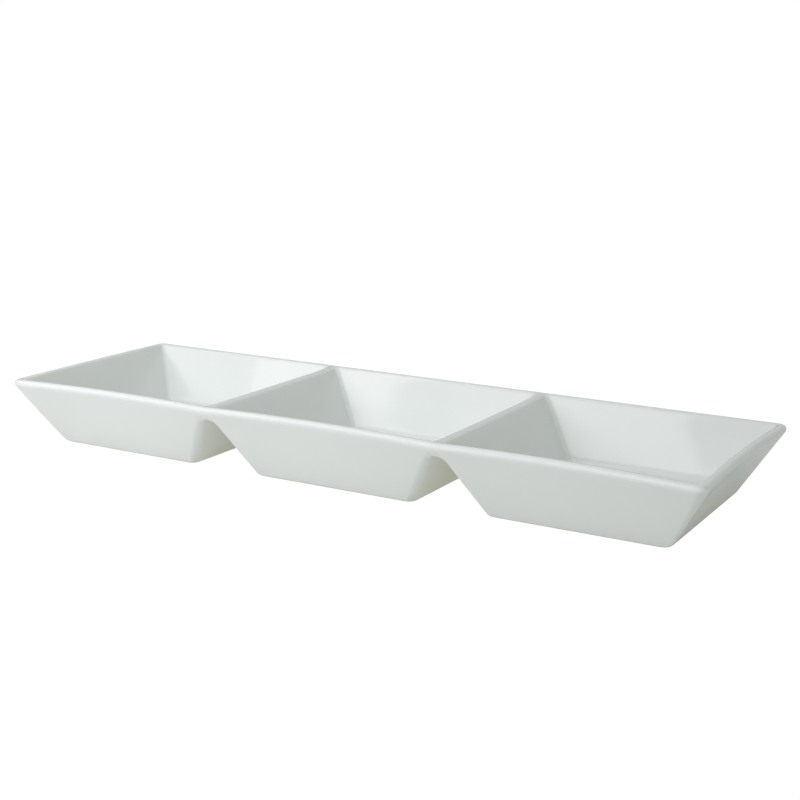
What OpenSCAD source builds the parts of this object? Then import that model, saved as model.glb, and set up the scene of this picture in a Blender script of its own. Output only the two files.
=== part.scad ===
// Divided serving dish in glazed porcelain: three square basins in a row under one rim.
// Origin at the centre of the footprint, on the table. X is the length, Z is up.
// The rim, the dividers and the bottom edges are tangent arcs, so each side of a basin
// is a profile of [inset, height] pairs, and rings of points follow the four profiles.

/* [Rim outline] */
// Length over the rim
rim_length = 381; // [340:1:420]
// Width over the rim
rim_width = 125; // [110:1:150]
// Height of the rim above the table
rim_height = 35; // [30:0.5:44]
// Radius of the rounded lip, half the thickness of the wall
lip_radius = 2.4; // [1.8:0.1:3]
// Radius of the rim's corners, seen from above
rim_corner_radius = 5.5; // [4:0.5:8]

/* [Basins] */
// Length of the middle basin, between the two dividers
middle_bay_length = 127.8; // [115:0.2:140]
// How far the foot of a long wall stands in from the rim
long_wall_inset = 17.5; // [14:0.5:20]
// How far the foot of an end wall stands in from the rim
end_wall_inset = 16.6; // [12:0.2:19]
// Height of the basin floors above the table
floor_height = 5; // [4:0.5:7]
// Radius between a floor and its walls
floor_fillet = 8; // [5:0.5:10]
// Radius of the upright inner corners at the floor
inner_corner_foot_radius = 2; // [1.5:0.5:8]
// Radius of the upright inner corners at the rim
inner_corner_top_radius = 2.5; // [2:0.5:6]

/* [Dividers and notches] */
// Radius along the top of a divider
divider_radius = 4; // [3:0.5:5]
// Lean of a divider's two faces, from upright
divider_lean = 36; // [30:1:40]
// Half the width of the notch between two basins, at the table
notch_half_width = 18.1; // [15:0.1:20]
// Height of the notch's rounded top above the table
notch_height = 28.2; // [25:0.2:29]
// Radius of the notch's rounded top
notch_radius = 4.5; // [2.5:0.5:6]
// Radius of the outer edges beside a notch
notch_edge_radius = 4; // [2:0.5:6]

/* [Feet] */
// Radius of the bottom edges along the long sides and the notches
bottom_edge_radius = 2.2; // [1.8:0.1:3]
// Radius of the bottom edge under an end wall
end_edge_radius = 7; // [4:0.5:12]
// Radius of the bottom corners, seen from above
bottom_corner_radius = 2; // [1.5:0.5:4]
// Width of the flat, unglazed foot ring
foot_ring_width = 3; // [2:0.5:5]
// Height of the hollow inside a foot ring
foot_hollow_height = 1; // [0.8:0.1:2]

/* [Glaze] */
// Thickness of the fired glaze
glaze = 0.3; // [0.2:0.05:0.5]
// Height of the line where the glaze ends above the table
glaze_line_height = 0.7; // [0.5:0.1:1]

/* [Firing] */
// How far a long side draws in over its whole length
long_side_bow = 2.1; // [0:0.1:3]
// How far the rim of each basin draws in on the long sides
bay_bow = 2; // [0:0.1:3]
// How far the rim of an end draws in
end_bow = 1.8; // [0:0.1:3]
// How far the rim of a long side lifts, as a share of how far it draws in
long_side_lift_share = 0.27; // [0:0.01:0.4]
// How far the rim of an end lifts, as a share of how far it draws in
end_lift_share = 0.44; // [0:0.01:0.6]

/* [Hidden] */

biscuit_colour = [0.90, 0.89, 0.86];
glaze_colour = [0.90, 0.93, 0.92];
base_colour = [0.85, 0.89, 0.88];

// Rings and segments, which set how fine the faces are
fillet_steps = 3;
round_steps = 3;
band_steps = 5;
edge_steps = 3;
foot_steps = 2;
corner_steps = 2;
straight_steps = 5;
side_points = 2 * corner_steps + straight_steps;
ring_points = 4 * side_points;

// Reach of the square corners where a divider meets the lip
joint_reach = inner_corner_top_radius;
// How closely the levels crowd towards the bottom edge, as a power
edge_crowding = 1.5;
// How the outer corners open out towards the rim, as a power of the height
corner_growth = 3;
// Slope of the foot ring's inner side, as the share of its height that it runs in
foot_slope_share = 1.5;
// Corner radius of a floor where its fillet begins
floor_corner_radius = inner_corner_foot_radius / 2;
// Corner radius along the top of the lip
crest_corner_radius = rim_corner_radius / 2;

// The three basins as [left, right] ends, and which of those ends are dividers
cells = [
    [-rim_length / 2, -middle_bay_length / 2],
    [-middle_bay_length / 2, middle_bay_length / 2],
    [middle_bay_length / 2, rim_length / 2]];
left_is_divider = [false, true, true];
right_is_divider = [true, true, false];

function dot2(a, b) = a.x * b.x + a.y * b.y;
function unit(angle) = [cos(angle), sin(angle)];
function steps(count) = [for (i = [0:count]) i / count];
// Angle of the normal of the line that has one centre s further along it than the other
function normal_angle(from, to, s) =
    let (d = to - from) atan2(d.y, d.x) + acos(s / norm(d));

// Centres of the arcs, as [inset from the outline or the divider's plane, height]
lip_centre = [lip_radius, rim_height - lip_radius];
divider_centre = [0, rim_height - divider_radius];
notch_centre = [0, notch_height - notch_radius];
// A bottom edge touches the table, so the height of its centre is its radius too
long_edge = [long_wall_inset + bottom_edge_radius, bottom_edge_radius];
end_edge = [end_wall_inset + end_edge_radius, end_edge_radius];
notch_edge = [notch_half_width + bottom_edge_radius, bottom_edge_radius];

long_lean = normal_angle(lip_centre, long_edge, bottom_edge_radius - lip_radius);
end_lean = normal_angle(lip_centre, end_edge, end_edge_radius - lip_radius);
notch_lean = normal_angle(notch_centre, notch_edge, bottom_edge_radius + notch_radius);
// Height where a long wall runs out of the lip
wall_top = lip_centre.y - lip_radius * sin(long_lean);

// Inside of a basin, from the floor's edge up to just under the top of the rounding.
// skin is how far the surface lies under the finished one.
function inside_profile(centre, radius, lean, skin) =
    let (up = floor_height + floor_fillet,
        across = (dot2(unit(lean), centre) + radius + floor_fillet - sin(lean) * up)
            / cos(lean),
        fillet_centre = [across, up])
    concat(
        [for (t = steps(fillet_steps))
            fillet_centre - (floor_fillet + skin) * unit(90 - (90 - lean) * t)],
        [for (i = [0:round_steps - 1])
            centre + (radius - skin) * unit(lean + (90 - lean) * i / round_steps)]);

// Point under one height of an outer wall, a leaning line that runs into the bottom edge
function wall_point(edge, lean, skin, height) =
    let (on_edge = height < edge.y * (1 - sin(lean)),
        angle = on_edge ? asin(1 - height / edge.y) : lean,
        across = on_edge ? edge.x - edge.y * cos(angle)
            : (dot2(unit(lean), edge) - edge.y - sin(lean) * height) / cos(lean))
    [across, height] + skin * unit(angle);

// Heights of the levels, from the foot of the end walls' straight part to the glaze line
edge_top = end_edge_radius * (1 - sin(end_lean));
edge_heights = [for (t = steps(edge_steps))
    glaze_line_height + (edge_top - glaze_line_height) * pow(1 - t, edge_crowding)];
// Height where the notch's rounded top runs into its straight side
notch_shoulder = notch_centre.y + notch_radius * sin(notch_lean);

// Underside beside a notch, from just under the notch's top down to the glaze line
function notch_profile(skin) = concat(
    [for (i = [1:round_steps])
        notch_centre + (notch_radius + skin) * unit(90 - (90 - notch_lean) * i / round_steps)],
    [for (height = edge_heights) wall_point(notch_edge, notch_lean, skin, height)]);

// Outer wall, with its points at the heights of the notch's
function outer_profile(edge, lean, skin) =
    let (top = rim_height - lip_radius - lip_radius * sin(lean))
    concat(
        [for (i = [1:round_steps])
            wall_point(edge, lean, skin, top + (notch_shoulder - top) * i / round_steps)],
        [for (height = edge_heights) wall_point(edge, lean, skin, height)]);

// The bare foot ring: the rest of the bottom edge, the flat, and half of the hollow's side
function foot_profile(edge) =
    let (flat = edge.x + foot_ring_width, first = asin(1 - glaze_line_height / edge.y))
    concat(
        [for (t = steps(foot_steps)) edge - edge.y * unit(first + (90 - first) * t)],
        [[flat, 0],
            [flat + foot_slope_share * foot_hollow_height / 2, foot_hollow_height / 2]]);
// The hollow inside a foot ring
function hollow_profile(edge, skin) =
    let (flat = edge.x + foot_ring_width,
        slope = norm([foot_slope_share, 1]),
        set_in = skin * (slope - foot_slope_share))
    [[flat + foot_slope_share * foot_hollow_height / 2 - skin / slope,
        foot_hollow_height / 2 + skin * foot_slope_share / slope],
        [flat + foot_slope_share * foot_hollow_height - set_in + skin,
            foot_hollow_height + skin]];

// Rounded lip, from the top of the crest over the outline to the outer wall
function band_point(lean, t, skin) =
    lip_centre - (lip_radius - skin) * unit(-90 + (90 + lean) * t);

// A level is [long side, end, divider side, outer corner, divider corner, rounded]: three
// profile points, then [radius, roundness] for each kind of corner, and whether its
// height rounds over at a divider's corner, as an edge does.
function level(long, end, divider, outer_corner, joint_corner, rounded = false) =
    [long, end, divider, outer_corner, joint_corner, rounded];

inside_radii = concat(
    [for (t = steps(fillet_steps))
        floor_corner_radius + (inner_corner_foot_radius - floor_corner_radius) * t],
    [for (i = [0:round_steps - 1])
        inner_corner_top_radius
            + (crest_corner_radius - inner_corner_top_radius) * i / round_steps]);

function inside_levels(skin) =
    let (long = inside_profile(lip_centre, lip_radius, long_lean, skin),
        end = inside_profile(lip_centre, lip_radius, end_lean, skin),
        divider = inside_profile(divider_centre, divider_radius, divider_lean, skin))
    [for (k = [0:len(long) - 1])
        let (over = max(0, k - fillet_steps - 1),
            joint = k > fillet_steps ? joint_reach : inside_radii[k])
        level(long[k], end[k], divider[k], [inside_radii[k], 1],
            [joint, 1 - over / round_steps])];

function crest_level(skin) = band_level(0, skin);
function band_corner(t) = crest_corner_radius + (rim_corner_radius - crest_corner_radius) * t;
function band_level(t, skin) =
    level(band_point(long_lean, t, skin), band_point(end_lean, t, skin),
        divider_centre + (divider_radius - skin) * unit(90), [band_corner(t), 1],
        [joint_reach + (notch_edge_radius - joint_reach) * t, 0]);
function notch_level(skin) =
    level(band_point(long_lean, 1, skin), band_point(end_lean, 1, skin),
        notch_centre + (notch_radius + skin) * unit(90),
        [rim_corner_radius, 1], [notch_edge_radius, 0], true);

function outside_levels(skin) =
    let (long = outer_profile(long_edge, long_lean, skin),
        end = outer_profile(end_edge, end_lean, skin),
        divider = notch_profile(skin))
    [for (k = [0:outside_count - 1])
        let (up = pow(long[k].y / wall_top, corner_growth),
            corner = bottom_corner_radius + (rim_corner_radius - bottom_corner_radius) * up)
        level(long[k], end[k], divider[k], [corner, 1],
            [notch_edge_radius, min(1, (k + 1) / round_steps)], true)];

// Levels of the foot, which keep the corners that they meet at the glaze line
function foot_level(long, end, divider) =
    level(long, end, divider, [bottom_corner_radius, 1], [notch_edge_radius, 1]);
function foot_levels() =
    let (long = foot_profile(long_edge), end = foot_profile(end_edge),
        divider = foot_profile(notch_edge))
    [for (k = [0:len(long) - 1]) foot_level(long[k], end[k], divider[k])];
function hollow_levels(skin) =
    let (long = hollow_profile(long_edge, skin), end = hollow_profile(end_edge, skin),
        divider = hollow_profile(notch_edge, skin))
    [for (k = [0:len(long) - 1]) foot_level(long[k], end[k], divider[k])];

// Firing draws the walls in and lifts the rim between the corners
function dome(t) = max(0, 1 - t * t);
function bay_centre(x) = x < cells[1][0] ? (cells[0][0] + cells[0][1]) / 2
    : x > cells[1][1] ? (cells[2][0] + cells[2][1]) / 2 : 0;
function bay_half(x) = abs(x) < middle_bay_length / 2 ? middle_bay_length / 2
    : (rim_length - middle_bay_length) / 4;
function fired(p) =
    let (rise = p.z / rim_height,
        along = 2 * p.x / rim_length,
        bay = dome((p.x - bay_centre(p.x)) / bay_half(p.x)),
        side = 2 * p.y / rim_width,
        draw = long_side_bow * dome(along) + bay_bow * bay,
        end_draw = end_bow * dome(side) * pow(abs(along), 8),
        lift = long_side_lift_share * draw * pow(abs(side), 4) + end_lift_share * end_draw)
    [p.x - end_draw * rise * along, p.y - draw * side * rise, p.z + lift * rise];

// One corner of a ring: reach along each side, then an arc that the roundness draws in
function corner_offset(step, corner, first, second) =
    let (t = step / corner_steps,
        square = t < 0 ? -t * corner[0] * first : t * corner[0] * second,
        turn = unit(45 + 45 * t),
        arc = corner[0] * (first + second) - corner[0] * (turn[0] * second + turn[1] * first))
    square + (arc - square) * corner[1];

// Height along a corner from the lip's side to the divider's: it eases down inside a
// basin, and rounds over beside a notch
function fall(t, rounded) = rounded ? sqrt(t * (2 - t)) : t * t * (3 - 2 * t);

// Point i of side s of a ring: 0 front, 1 right, 2 back, 3 left, each from its first corner
function side_point(cell, lv, s, i) =
    let (left = left_is_divider[cell] ? lv[2] : lv[1],
        right = right_is_divider[cell] ? lv[2] : lv[1],
        x = [cells[cell][0] + left.x, cells[cell][1] - right.x],
        y = [-rim_width / 2 + lv[0].x, rim_width / 2 - lv[0].x],
        plan = [[x[0], y[0]], [x[1], y[0]], [x[1], y[1]], [x[0], y[1]]],
        ways = [[1, 0], [0, 1], [-1, 0], [0, -1]],
        kinds = [left_is_divider[cell], right_is_divider[cell], right_is_divider[cell],
            left_is_divider[cell]],
        heights = [lv[0].y, right.y, lv[0].y, left.y],
        next = (s + 1) % 4,
        before = (s + 3) % 4,
        first = kinds[s] ? lv[4] : lv[3],
        second = kinds[next] ? lv[4] : lv[3],
        on_first = i <= corner_steps,
        on_second = i >= corner_steps + straight_steps,
        start = plan[s] + first[0] * ways[s],
        finish = plan[next] - second[0] * ways[s],
        place = on_first ? plan[s] + corner_offset(i, first, -ways[before], ways[s])
            : on_second
            ? plan[next] + corner_offset(i - side_points, second, -ways[s], ways[next])
            : start + (finish - start) * (i - corner_steps) / straight_steps,
        from_corner = on_first ? i : on_second ? side_points - i : corner_steps,
        long_side = s == 0 || s == 2,
        height = long_side ? heights[s]
            : lv[0].y + (heights[s] - lv[0].y) * fall(from_corner / corner_steps, lv[5]))
    fired([place.x, place.y, height]);

function ring(cell, lv) =
    [for (s = [0:3]) for (i = [0:side_points - 1]) side_point(cell, lv, s, i)];

// The loop right round the rim: each entry is the [basin, side] of one stretch
rim_sides = [[0, 0], [1, 0], [2, 0], [2, 1], [2, 2], [1, 2], [0, 2], [0, 3]];
rim_points = len(rim_sides) * side_points;
function rim_loop(lv) =
    [for (r = rim_sides) for (i = [0:side_points - 1]) side_point(r[0], lv, r[1], i)];
divider_points = side_points - 1;
function divider_line(divider, lv) =
    [for (i = [1:divider_points]) side_point(divider, lv, 1, i)];

// Numbers of the points along the outer edge of a basin's rings, which it shares
function front_of(cell) = cell * side_points;
function back_of(cell) = (6 - cell) * side_points;
function edge_number(cell, s, i, rim_base, line_base) =
    s == 0 ? rim_base + front_of(cell) + i
    : s == 2 ? rim_base + back_of(cell) + i
    : s == 1 ? (cell == 2 ? rim_base + 3 * side_points + i
        : i == 0 ? rim_base + front_of(cell + 1)
        : line_base + cell * divider_points + i - 1)
    : (cell == 0 ? rim_base + 7 * side_points + i
        : i == 0 ? rim_base + back_of(cell - 1)
        : line_base + (cell - 1) * divider_points + side_points - i - 1);
function edge_ring(cell, rim_base, line_base) =
    [for (s = [0:3]) for (i = [0:side_points - 1]) edge_number(cell, s, i, rim_base, line_base)];
function numbers(base, count) = [for (i = [0:count - 1]) base + i];

// Two triangles between each pair of neighbours on two rings
function strip(upper, lower) =
    let (n = len(upper))
    [for (i = [0:n - 1]) let (j = (i + 1) % n)
        each [[upper[i], upper[j], lower[j]], [upper[i], lower[j], lower[i]]]];
function strips(rings) =
    [for (k = [0:len(rings) - 2]) each strip(rings[k], rings[k + 1])];
function reversed(list) = [for (i = [len(list) - 1:-1:0]) list[i]];
function turned(faces) = [for (f = faces) reversed(f)];

// The sheet: inside of the basins, lip and outside down to the glaze line
inside_count = fillet_steps + 1 + round_steps;
outside_count = round_steps + edge_steps + 1;
rim_base = 3 * inside_count * ring_points;
crest_line_base = rim_base + (band_steps + 1) * rim_points;
notch_line_base = crest_line_base + 2 * divider_points;
outside_base = notch_line_base + 2 * divider_points;
sheet_size = outside_base + 3 * outside_count * ring_points;

function sheet_points(skin) = concat(
    [for (cell = [0:2]) for (lv = inside_levels(skin)) each ring(cell, lv)],
    [for (b = [0:band_steps]) each rim_loop(band_level(b / band_steps, skin))],
    [for (divider = [0:1]) each divider_line(divider, crest_level(skin))],
    [for (divider = [0:1]) each divider_line(divider, notch_level(skin))],
    [for (cell = [0:2]) for (lv = outside_levels(skin)) each ring(cell, lv)]);

function inside_ring(base, cell, k) =
    numbers(base + (cell * inside_count + k) * ring_points, ring_points);
function outside_ring(base, cell, k) =
    numbers(base + outside_base + (cell * outside_count + k) * ring_points, ring_points);
function lowest_ring(base, cell) = outside_ring(base, cell, outside_count - 1);

function sheet_faces(base) = concat(
    [for (cell = [0:2]) reversed(inside_ring(base, cell, 0))],
    [for (cell = [0:2]) each strips(concat(
        [for (k = [0:inside_count - 1]) inside_ring(base, cell, k)],
        [edge_ring(cell, base + rim_base, base + crest_line_base)]))],
    strips([for (b = [0:band_steps])
        numbers(base + rim_base + b * rim_points, rim_points)]),
    [for (cell = [0:2]) each strips(concat(
        [edge_ring(cell, base + rim_base + band_steps * rim_points, base + notch_line_base)],
        [for (k = [0:outside_count - 1]) outside_ring(base, cell, k)]))]);

// The clay: its glazed surface lies one glaze thickness under the finished one, and
// the foot rings stand out to it, unglazed
module porcelain_body() {
    levels = concat(foot_levels(), hollow_levels(glaze));
    foot = [for (cell = [0:2]) for (lv = levels) each ring(cell, lv)];
    function foot_ring(cell, k) =
        numbers(sheet_size + (cell * len(levels) + k) * ring_points, ring_points);
    faces = concat(sheet_faces(0),
        [for (cell = [0:2]) each strips(concat([lowest_ring(0, cell)],
            [for (k = [0:len(levels) - 1]) foot_ring(cell, k)]))],
        [for (cell = [0:2]) foot_ring(cell, len(levels) - 1)]);
    color(biscuit_colour)
        polyhedron(points = concat(sheet_points(glaze), foot), faces = faces, convexity = 8);
}

// The glaze over the inside, the lip and the outside, in one unbroken coat
module glaze_coat() {
    faces = concat(sheet_faces(0), turned(sheet_faces(sheet_size)),
        [for (cell = [0:2])
            each strip(lowest_ring(0, cell), lowest_ring(sheet_size, cell))]);
    color(glaze_colour)
        polyhedron(points = concat(sheet_points(0), sheet_points(glaze)), faces = faces,
            convexity = 12);
}

// The glaze inside one foot ring, which the wiped ring parts from the coat
module base_glaze(cell) {
    outer = [foot_levels()[foot_steps + 2], hollow_levels(0)[1]];
    inner = reversed(hollow_levels(glaze));
    points = [for (lv = concat(outer, inner)) each ring(cell, lv)];
    rings = [for (k = [0:3]) numbers(k * ring_points, ring_points)];
    faces = concat([rings[1]], [reversed(rings[2])], strip(rings[0], rings[1]),
        strip(rings[2], rings[3]), strip(rings[3], rings[0]));
    color(base_colour) polyhedron(points = points, faces = faces, convexity = 4);
}

module base_glaze_left() base_glaze(0);
module base_glaze_middle() base_glaze(1);
module base_glaze_right() base_glaze(2);

porcelain_body();
glaze_coat();
base_glaze_left();
base_glaze_middle();
base_glaze_right();
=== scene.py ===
# %% [markdown]
# # A divided serving dish in glazed porcelain
#
# The real dish is one piece of fired clay: three square basins in a row under one rim,
# covered with a glossy white glaze. Only the foot rings that it stands on are left bare.
# This lesson rebuilds those surfaces as smooth meshes and gives them a believable glaze.
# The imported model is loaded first, because it is the fixed frame: it says how big the
# dish is, and every mesh made here has to lie where its solid lies.

# %% Load the frame
import math

import bpy
import numpy as np
from mathutils import Matrix, Vector


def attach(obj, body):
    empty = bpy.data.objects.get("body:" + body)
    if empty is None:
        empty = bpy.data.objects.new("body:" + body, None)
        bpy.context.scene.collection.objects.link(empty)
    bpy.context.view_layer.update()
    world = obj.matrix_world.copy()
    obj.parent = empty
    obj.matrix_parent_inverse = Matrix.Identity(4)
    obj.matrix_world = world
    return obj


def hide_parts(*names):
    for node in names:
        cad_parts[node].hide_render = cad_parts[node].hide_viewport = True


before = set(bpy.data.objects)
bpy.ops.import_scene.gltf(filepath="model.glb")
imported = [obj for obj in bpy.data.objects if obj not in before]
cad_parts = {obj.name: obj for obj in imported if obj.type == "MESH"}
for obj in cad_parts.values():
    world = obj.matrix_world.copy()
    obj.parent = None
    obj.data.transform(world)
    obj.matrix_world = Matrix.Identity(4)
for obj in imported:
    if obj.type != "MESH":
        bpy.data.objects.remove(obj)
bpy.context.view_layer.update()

MM = 0.001

# %% [markdown]
# ## The camera
#
# The photograph was taken with a long lens from the front right, a little above the
# rim. Its position was worked out from the straight edges of the dish: the lines of the
# rim, of the foot and of the upright corners meet only for one camera. A camera in
# Blender looks along its own -Z axis, so its matrix is built from three directions:
# right, up and back.

# %% Place the camera
VIEW_TURN = 29.50           # degrees round the dish, from straight in front
VIEW_RISE = 13.21           # degrees above the table
VIEW_ROLL = 0.589           # degrees, turned about the line of sight
VIEW_OFFSET = (-15.673, -34.303, 717.944)  # origin seen from the camera: right, down, ahead
FRAME_PIXELS = 800.0        # side of the square picture
FOCAL_PIXELS = 1409.4       # focal length, in the same pixels
CENTRE_PIXEL = (409.16, 400.02)  # where the line of sight meets the picture
SENSOR = 36.0


def camera_axes():
    """Right, up and back of the camera, as unit vectors."""
    turn, rise, roll = (math.radians(v) for v in (VIEW_TURN, VIEW_RISE, VIEW_ROLL))
    back = Vector((math.sin(turn) * math.cos(rise), -math.cos(turn) * math.cos(rise), math.sin(rise)))
    level = Vector((math.cos(turn), math.sin(turn), 0.0))
    upright = back.cross(level)
    right = math.cos(roll) * level + math.sin(roll) * upright
    up = math.cos(roll) * upright - math.sin(roll) * level
    return right, up, back


def add_camera():
    right, up, back = camera_axes()
    data = bpy.data.cameras.new("photo_camera")
    data.sensor_width = SENSOR
    data.lens = SENSOR * FOCAL_PIXELS / FRAME_PIXELS
    data.shift_x = (FRAME_PIXELS / 2 - CENTRE_PIXEL[0]) / FRAME_PIXELS
    data.shift_y = (CENTRE_PIXEL[1] - FRAME_PIXELS / 2) / FRAME_PIXELS
    camera = bpy.data.objects.new("photo_camera", data)
    across, down, ahead = VIEW_OFFSET
    place = (ahead * back - across * right - down * up) * MM
    turned = Matrix((right, up, back)).transposed().to_4x4()
    camera.matrix_world = Matrix.Translation(place) @ turned
    bpy.context.scene.collection.objects.link(camera)
    bpy.context.scene.camera = camera
    return camera


camera = add_camera()
print("camera at, in mm:", [round(v / MM, 1) for v in camera.matrix_world.translation],
      "lens", round(camera.data.lens, 2))

# %% [markdown]
# ## The sizes of the dish
#
# These are the sizes that a mould maker would ask for, in millimetres, the same ones
# that the solids were built from. Everything below is worked out from them.

# %% Sizes, in millimetres
RIM_LENGTH, RIM_WIDTH, RIM_HEIGHT = 381.0, 125.0, 35.0
MIDDLE_BAY_LENGTH = 127.8
HALF_BAY = MIDDLE_BAY_LENGTH / 2
LIP_RADIUS, RIM_CORNER_RADIUS = 2.4, 5.5
LONG_WALL_INSET, END_WALL_INSET = 17.5, 16.6
FLOOR_HEIGHT, FLOOR_FILLET = 5.0, 8.0
INNER_CORNER_FOOT_RADIUS, INNER_CORNER_TOP_RADIUS = 2.0, 2.5
DIVIDER_RADIUS, DIVIDER_LEAN = 4.0, math.radians(36)
NOTCH_HALF_WIDTH, NOTCH_HEIGHT, NOTCH_RADIUS, NOTCH_EDGE_RADIUS = 18.1, 28.2, 4.5, 4.0
BOTTOM_EDGE_RADIUS, END_EDGE_RADIUS, BOTTOM_CORNER_RADIUS = 2.2, 7.0, 2.0
FOOT_RING_WIDTH, FOOT_HOLLOW_HEIGHT, FOOT_SLOPE = 3.0, 1.0, 1.5
GLAZE, GLAZE_LINE_HEIGHT = 0.3, 0.7
print("rim", RIM_LENGTH, "x", RIM_WIDTH, "mm,", RIM_HEIGHT, "mm high, glaze", GLAZE, "mm thick")

# %% [markdown]
# ## Profiles
#
# Cut the dish across a wall and you see its profile: a floor, a fillet, a straight
# leaning wall, a round lip, and the outside running down to a rounded foot. The curves
# meet the straight lines without a kink, as clay does when it leaves a mould. Each
# profile is a list of [inset, height] pairs, so one short function makes a whole wall.
# The leaning line is the common tangent of two circles, which fixes its angle. A bevel
# on a boxy mesh would be quicker, but it can't keep such a line and its arcs exact.

# %% Arcs and tangent lines
QUARTER = math.pi / 2


def unit(angle):
    return np.array([math.cos(angle), math.sin(angle)])


def tangent_angle(start, end, gap):
    """Angle of the normal of the line that passes both circles, whose radii differ by gap."""
    along = end - start
    return math.atan2(along[1], along[0]) + math.acos(gap / np.linalg.norm(along))


def shares(count):
    return [i / count for i in range(count + 1)]


def between(first, last, t):
    return first + (last - first) * t


print("a quarter turn in thirds:", [round(math.degrees(between(0, QUARTER, t))) for t in shares(3)])

# %% Centres of the round edges, and how the walls lean
lip_centre = np.array([LIP_RADIUS, RIM_HEIGHT - LIP_RADIUS])
divider_centre = np.array([0.0, RIM_HEIGHT - DIVIDER_RADIUS])
notch_centre = np.array([0.0, NOTCH_HEIGHT - NOTCH_RADIUS])
long_edge = np.array([LONG_WALL_INSET + BOTTOM_EDGE_RADIUS, BOTTOM_EDGE_RADIUS])
end_edge = np.array([END_WALL_INSET + END_EDGE_RADIUS, END_EDGE_RADIUS])
notch_edge = np.array([NOTCH_HALF_WIDTH + BOTTOM_EDGE_RADIUS, BOTTOM_EDGE_RADIUS])
long_lean = tangent_angle(lip_centre, long_edge, BOTTOM_EDGE_RADIUS - LIP_RADIUS)
end_lean = tangent_angle(lip_centre, end_edge, END_EDGE_RADIUS - LIP_RADIUS)
notch_lean = tangent_angle(notch_centre, notch_edge, BOTTOM_EDGE_RADIUS + NOTCH_RADIUS)
wall_top = lip_centre[1] - LIP_RADIUS * math.sin(long_lean)
notch_shoulder = notch_centre[1] + NOTCH_RADIUS * math.sin(notch_lean)
print("walls lean by", [round(math.degrees(v), 1) for v in (long_lean, end_lean, notch_lean)])

# %% Profile of the inside
FILLET_STEPS, WALL_STEPS, ROUND_STEPS = 8, 6, 8
INSIDE_COUNT = FILLET_STEPS + WALL_STEPS + ROUND_STEPS


def inside_profile(centre, radius, lean, skin):
    """From the floor's edge over the fillet and up the wall to just under the crest."""
    up = FLOOR_HEIGHT + FLOOR_FILLET
    reach = unit(lean) @ centre + radius + FLOOR_FILLET - math.sin(lean) * up
    fillet_centre = np.array([reach / math.cos(lean), up])
    fillet = [fillet_centre - (FLOOR_FILLET + skin) * unit(between(QUARTER, lean, t))
              for t in shares(FILLET_STEPS)]
    rounding = [centre + (radius - skin) * unit(between(lean, QUARTER, t))
                for t in shares(ROUND_STEPS)[:-1]]
    wall = [between(fillet[-1], rounding[0], t) for t in shares(WALL_STEPS)[1:-1]]
    return fillet + wall + rounding


print("inside profile:", INSIDE_COUNT, "points, floor starts",
      round(inside_profile(lip_centre, LIP_RADIUS, long_lean, 0)[0][0], 2), "mm in")

# %% Profile of the outside and of the notch
OUTER_STEPS, EDGE_STEPS = 10, 8
EDGE_CROWDING = 1.5         # above 1, points lie closer together towards the glaze line
OUTSIDE_COUNT = ROUND_STEPS + OUTER_STEPS + EDGE_STEPS


def wall_point(edge, lean, skin, height):
    """Point under one height of an outer wall: a leaning line, then the bottom edge."""
    radius = edge[1]
    if height < radius * (1 - math.sin(lean)):
        angle = math.asin(1 - height / radius)
        across = edge[0] - radius * math.cos(angle)
    else:
        angle = lean
        across = (unit(lean) @ edge - radius - math.sin(lean) * height) / math.cos(lean)
    return np.array([across, height]) + skin * unit(angle)


def heights_of_wall():
    """From the notch's shoulder down to the glaze line."""
    low = END_EDGE_RADIUS * (1 - math.sin(end_lean))
    wall = [between(notch_shoulder, low, t) for t in shares(OUTER_STEPS)]
    edge = [between(GLAZE_LINE_HEIGHT, low, (1 - t) ** EDGE_CROWDING) for t in shares(EDGE_STEPS)]
    return wall[1:-1] + edge


def notch_profile(skin):
    """Under a divider, from just beside the notch's top down to the glaze line."""
    top = [notch_centre + (NOTCH_RADIUS + skin) * unit(between(QUARTER, notch_lean, t))
           for t in shares(ROUND_STEPS)[1:]]
    return top + [wall_point(notch_edge, notch_lean, skin, h) for h in heights_of_wall()]


def outer_profile(edge, lean, skin):
    """Outer wall, from under the lip down to the glaze line, level with the notch's points."""
    top = lip_centre[1] - LIP_RADIUS * math.sin(lean)
    beside = [between(top, notch_shoulder, t) for t in shares(ROUND_STEPS)[1:]]
    return [wall_point(edge, lean, skin, h) for h in beside + heights_of_wall()]


print("outside profile:", OUTSIDE_COUNT, "points, down to", GLAZE_LINE_HEIGHT, "mm")

# %% Profiles of the foot and of the lip
FOOT_STEPS = 3


def foot_profile(edge):
    """The bare foot ring: the rest of the rounded edge, the flat, and half of the hollow's side."""
    radius, flat = edge[1], edge[0] + FOOT_RING_WIDTH
    first = math.asin(1 - GLAZE_LINE_HEIGHT / radius)
    rounding = [edge - radius * unit(between(first, QUARTER, t)) for t in shares(FOOT_STEPS)]
    return rounding + [np.array([flat, 0.0]),
                       np.array([flat + FOOT_SLOPE * FOOT_HOLLOW_HEIGHT / 2, FOOT_HOLLOW_HEIGHT / 2])]


def hollow_profile(edge, skin):
    """The shallow hollow inside a foot ring."""
    flat = edge[0] + FOOT_RING_WIDTH
    slope = math.hypot(FOOT_SLOPE, 1)
    return [np.array([flat + FOOT_SLOPE * FOOT_HOLLOW_HEIGHT / 2 - skin / slope,
                      FOOT_HOLLOW_HEIGHT / 2 + skin * FOOT_SLOPE / slope]),
            np.array([flat + FOOT_SLOPE * FOOT_HOLLOW_HEIGHT - skin * (slope - FOOT_SLOPE) + skin,
                      FOOT_HOLLOW_HEIGHT + skin])]


def band_point(lean, t, skin):
    """The round lip, from its crest over the outline to the outer wall."""
    return lip_centre - (LIP_RADIUS - skin) * unit(between(-QUARTER, lean, t))


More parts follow.
